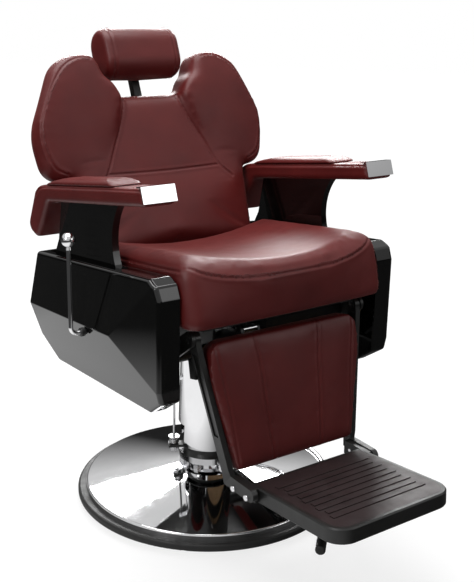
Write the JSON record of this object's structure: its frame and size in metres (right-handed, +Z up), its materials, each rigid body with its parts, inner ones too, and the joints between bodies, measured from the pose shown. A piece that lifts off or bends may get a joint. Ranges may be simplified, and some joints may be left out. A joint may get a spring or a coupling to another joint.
{
  "type": "hydraulic barber chair",
  "caption": "Reclining barber chair on a round pump base, with winged back, sliding headrest, padded arms, faceted side covers and a leg rest with a ribbed footplate.",
  "frame": {"origin": "centre of the round base on the floor", "axes": "+Z up, the sitter faces -Y, +X to the sitter's left"},
  "size_m": [0.7378, 1.0581, 1.1109],
  "materials": {
    "leather": "satin",
    "gloss_black": "gloss",
    "black_paint": "satin",
    "black_plastic": "satin",
    "chrome": "mirror",
    "bright_steel": "brushed",
    "steel": "matt",
    "rubber": "matt",
    "plywood": "matt"
  },
  "bodies": {
    "base": {"base_plate": "steel", "base_dome": "chrome", "base_ring": "rubber", "pump_flange": "chrome", "hex_nuts": "bright_steel", "clamp_ring": "black_paint", "pump_cylinder": "bright_steel", "pump_cover": "chrome", "pump_collar": "chrome"},
    "plunger": {"plunger_rod": "bright_steel", "plunger_spring": "bright_steel"},
    "foot_lever": {"rocker_shaft": "bright_steel", "pump_lever": "chrome", "pedal_sleeve": "rubber"},
    "ram": {"lift_ram": "chrome", "ram_cap": "steel"},
    "chair": {"swivel_bearing": "bright_steel", "swivel_plate": "black_paint", "cheek_plate_r": "black_paint", "cheek_plate_l": "black_paint", "frame_tubes": "black_paint", "side_frame_r": "black_paint", "side_frame_l": "black_paint", "hinge_bracket_r": "black_paint", "hinge_bracket_l": "black_paint", "link_beam": "black_paint", "pivot_pins": "bright_steel", "seat_board": "black_paint", "seat_cushion": "leather", "side_cover_r": "gloss_black", "side_cover_l": "gloss_black", "arm_panel_r": "gloss_black", "arm_panel_l": "gloss_black", "arm_pad_r": "leather", "arm_pad_l": "leather", "elbow_pad_r": "leather", "elbow_pad_l": "leather", "arm_cap_r": "chrome", "arm_cap_l": "chrome", "lock_cylinder": "black_paint"},
    "backrest": {"back_board": "plywood", "back_cushion": "leather", "back_bracket_r": "black_paint", "back_bracket_l": "black_paint", "back_tube": "black_paint", "headrest_guide": "black_paint"},
    "headrest": {"headrest_post": "black_paint", "headrest_pad": "leather"},
    "leg_rest": {"leg_bar_r": "black_paint", "leg_bar_l": "black_paint", "leg_crossbar": "black_paint", "leg_board": "plywood", "leg_pad": "leather", "footplate": "black_paint", "foot_tread": "rubber", "footplate_bolts": "chrome"},
    "link": {"push_link": "bright_steel"},
    "lock": {"lock_rod": "bright_steel"},
    "recline_lever": {"lever_hub": "black_plastic", "lever_handle": "chrome"}
  },
  "joints": [
    {"name": "lift", "type": "slide", "parent": "base", "child": "ram", "axis": [0, 0, 1], "range_m": [0, 0.15]},
    {"name": "swivel", "type": "hinge", "parent": "ram", "child": "chair", "pos_m": [0, 0, 0.39], "axis": [0, 0, 1], "continuous": true},
    {"name": "back_recline", "type": "hinge", "parent": "chair", "child": "backrest", "pos_m": [0, 0.168, 0.492], "axis": [-1, 0, 0], "range_deg": [0, 40]},
    {"name": "headrest_slide", "type": "slide", "parent": "backrest", "child": "headrest", "axis": [0, 0.3778, 0.9259], "range_m": [0, 0.05]},
    {"name": "leg_rest_swing", "type": "hinge", "parent": "chair", "child": "leg_rest", "pos_m": [0, -0.264, 0.513], "axis": [-1, 0, 0], "range_deg": [0, 40]},
    {"name": "link_turn", "type": "hinge", "parent": "backrest", "child": "link", "pos_m": [0, 0.208, 0.472], "axis": [-1, 0, 0], "range_deg": [-40, 0]},
    {"name": "lock_slide", "type": "slide", "parent": "chair", "child": "lock", "axis": [0, 1, 0], "range_m": [-0.0262, 0]},
    {"name": "plunger_press", "type": "slide", "parent": "base", "child": "plunger", "axis": [0, 0, -1], "range_m": [0, 0.006], "stiffness_N_per_m": 900, "springref_m": -0.004, "deforming": ["plunger_spring"]},
    {"name": "pump_stroke", "type": "hinge", "parent": "base", "child": "foot_lever", "pos_m": [0.09, 0, 0.106], "axis": [1, 0, 0], "range_deg": [0, 7], "stiffness_Nm_per_rad": 40, "springref_deg": -8.59},
    {"name": "recline_release", "type": "hinge", "parent": "chair", "child": "recline_lever", "pos_m": [-0.352, -0.014, 0.479], "axis": [1, 0, 0], "range_deg": [0, 18], "stiffness_Nm_per_rad": 3, "springref_deg": -14.32}
  ],
  "couplings": [
    {"joint": "leg_rest_swing", "follows": "back_recline", "ratio": 1},
    {"joint": "link_turn", "follows": "back_recline", "ratio": -1},
    {"joint": "lock_slide", "follows": "back_recline", "m_per_rad": -0.037233}
  ]
}
